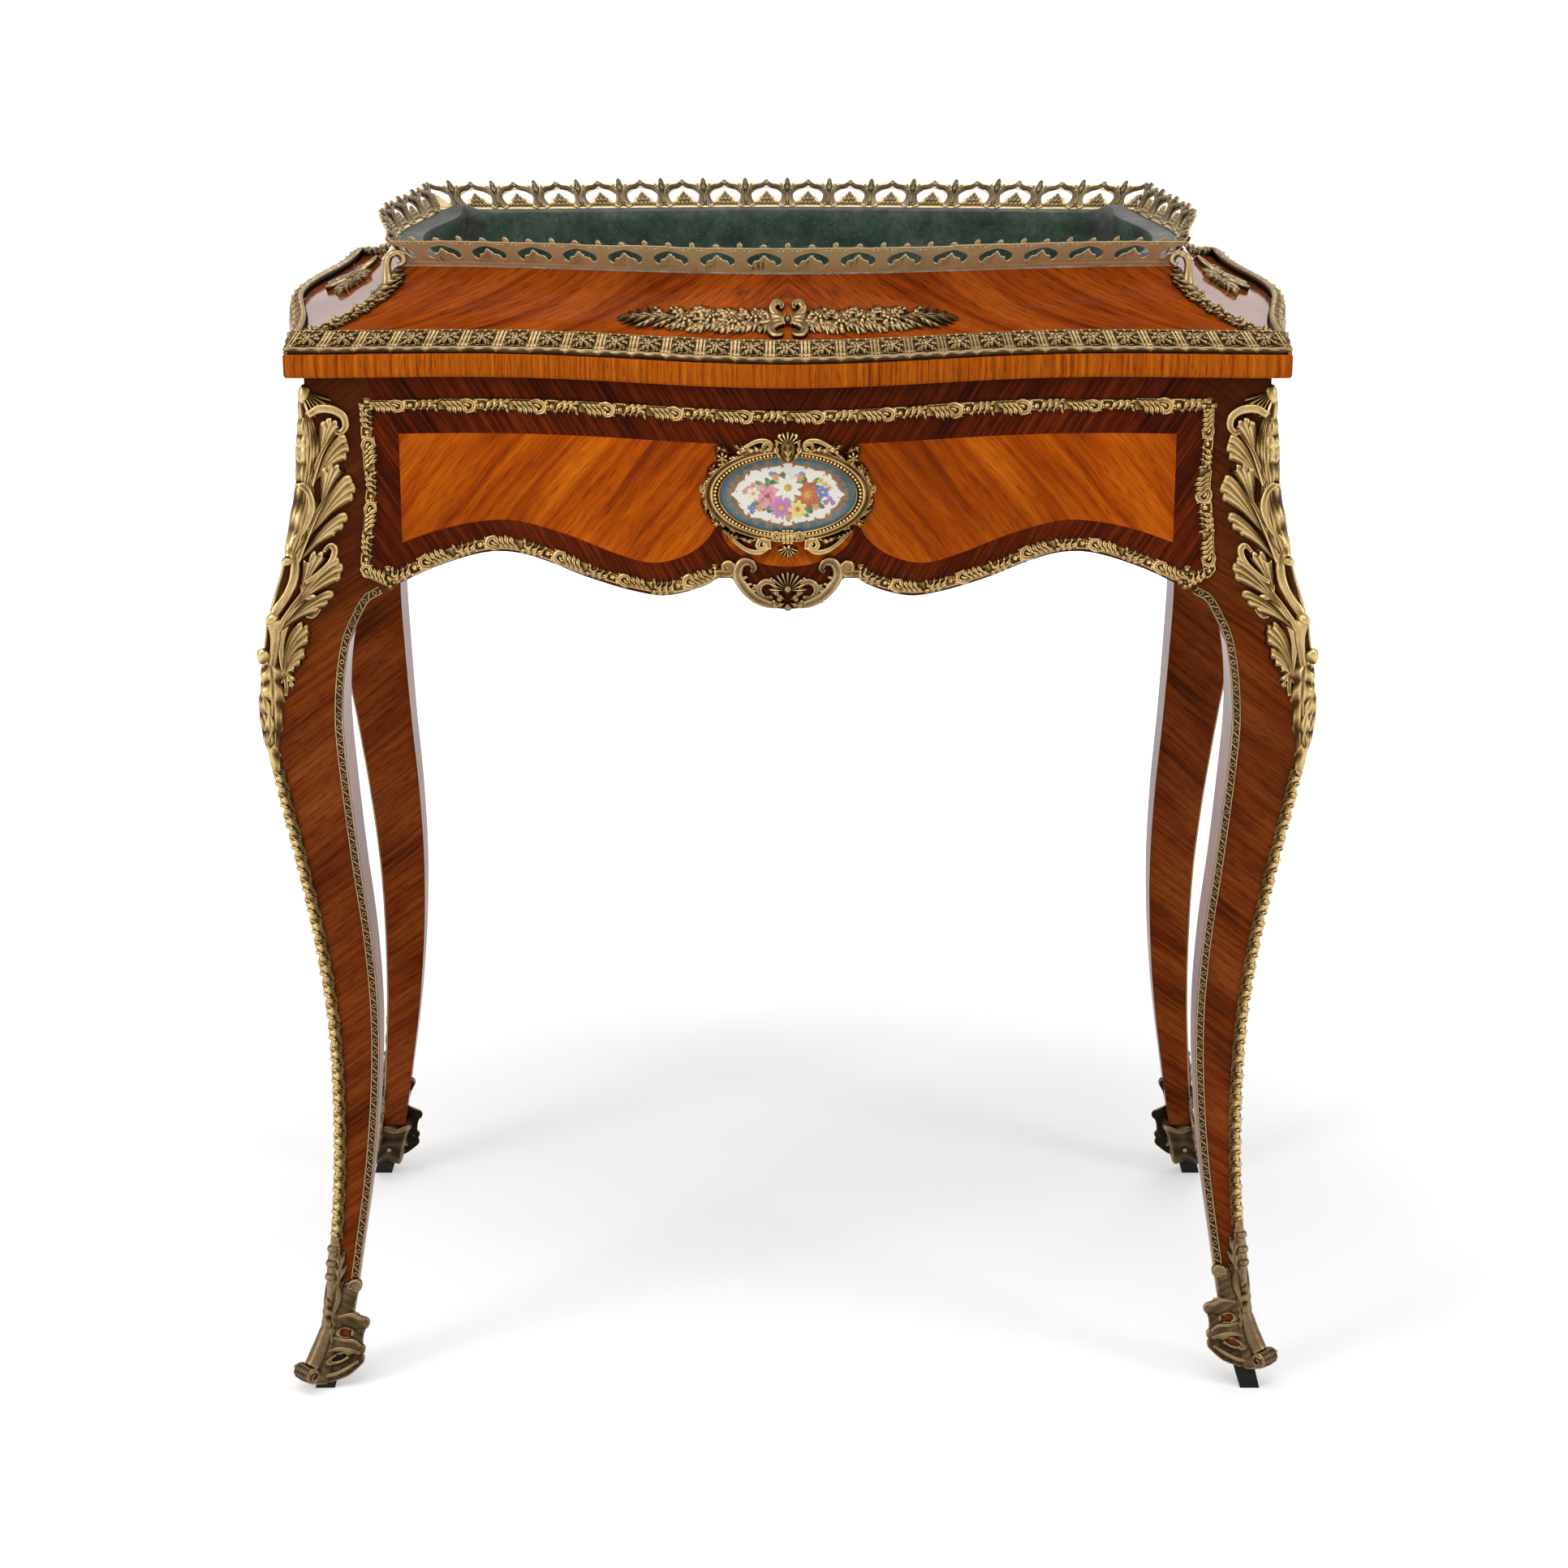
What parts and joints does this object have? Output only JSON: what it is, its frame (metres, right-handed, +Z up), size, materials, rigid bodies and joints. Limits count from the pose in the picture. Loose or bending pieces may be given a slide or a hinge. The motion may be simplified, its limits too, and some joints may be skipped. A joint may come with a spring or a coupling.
{
  "type": "jardiniere table",
  "caption": "Serpentine planter table on cabriole legs, with a coved cover, a pierced gallery, cast mounts and a lift-out metal liner.",
  "frame": {"origin": "on the floor, under the middle of the table's box", "axes": "+X to the table's right as seen from the front, -Y towards the front with the plaque, +Z up"},
  "size_m": [0.722, 0.449, 0.829],
  "materials": {
    "kingwood_leg": "polished",
    "kingwood_crossband": "polished",
    "kingwood_cover": "polished",
    "tulipwood_panel": "polished",
    "tulipwood_edge": "polished",
    "carcass_oak": "plain sawn",
    "ebonised_foot": "blackened",
    "gilt_bronze": "cast and gilt, worn",
    "gallery_brass": "stamped and pierced, tarnished",
    "dark_bronze": "cast, dark patina",
    "liner_zinc": "zinc sheet, green stained",
    "rim_zinc": "dull zinc sheet",
    "porcelain": "glazed, painted",
    "steel_pin": "turned"
  },
  "bodies": {
    "table": {"leg_front_left": "kingwood_leg", "leg_front_right": "kingwood_leg", "leg_back_right": "kingwood_leg", "leg_back_left": "kingwood_leg", "foot_peg_front_left": "ebonised_foot", "foot_peg_front_right": "ebonised_foot", "foot_peg_back_right": "ebonised_foot", "foot_peg_back_left": "ebonised_foot", "apron_front": "carcass_oak", "apron_right": "carcass_oak", "apron_back": "carcass_oak", "apron_left": "carcass_oak", "crossband_veneers": "kingwood_crossband", "reserve_panels": "tulipwood_panel", "well_bearer_front": "carcass_oak", "well_bearer_back": "carcass_oak", "well_floor": "carcass_oak", "top_board": "carcass_oak", "edge_band": "tulipwood_edge", "cover_front": "kingwood_cover", "cover_right": "kingwood_cover", "cover_back": "kingwood_cover", "cover_left": "kingwood_cover", "rim_sheet": "rim_zinc", "gallery_front": "gallery_brass", "gallery_right": "gallery_brass", "gallery_back": "gallery_brass", "gallery_left": "gallery_brass", "edge_moulding_front": "gilt_bronze", "edge_moulding_right": "gilt_bronze", "edge_moulding_back": "gilt_bronze", "edge_moulding_left": "gilt_bronze", "hip_mount_front_left": "gilt_bronze", "hip_mount_front_right": "gilt_bronze", "hip_mount_back_right": "gilt_bronze", "hip_mount_back_left": "gilt_bronze", "spray_front": "gilt_bronze", "spray_right": "gilt_bronze", "spray_back": "gilt_bronze", "spray_left": "gilt_bronze", "frame_moulding_front": "gilt_bronze", "frame_moulding_right": "gilt_bronze", "frame_moulding_back": "gilt_bronze", "frame_moulding_left": "gilt_bronze", "porcelain_plaque": "porcelain", "plaque_frame": "gilt_bronze", "shell_mount": "gilt_bronze", "knee_mount_front_left": "gilt_bronze", "knee_mount_front_right": "gilt_bronze", "knee_mount_back_right": "gilt_bronze", "knee_mount_back_left": "gilt_bronze", "arris_strips": "gilt_bronze", "inner_edge_strips": "gilt_bronze", "shoe_front_left": "dark_bronze", "shoe_front_right": "dark_bronze", "shoe_back_right": "dark_bronze", "shoe_back_left": "dark_bronze", "shoe_pins": "steel_pin"},
    "liner": {"zinc_liner": "liner_zinc"}
  },
  "joints": [
    {"name": "liner_lift", "type": "slide", "parent": "table", "child": "liner", "axis": [0, 0, 1], "range_m": [0, 0.18]}
  ]
}
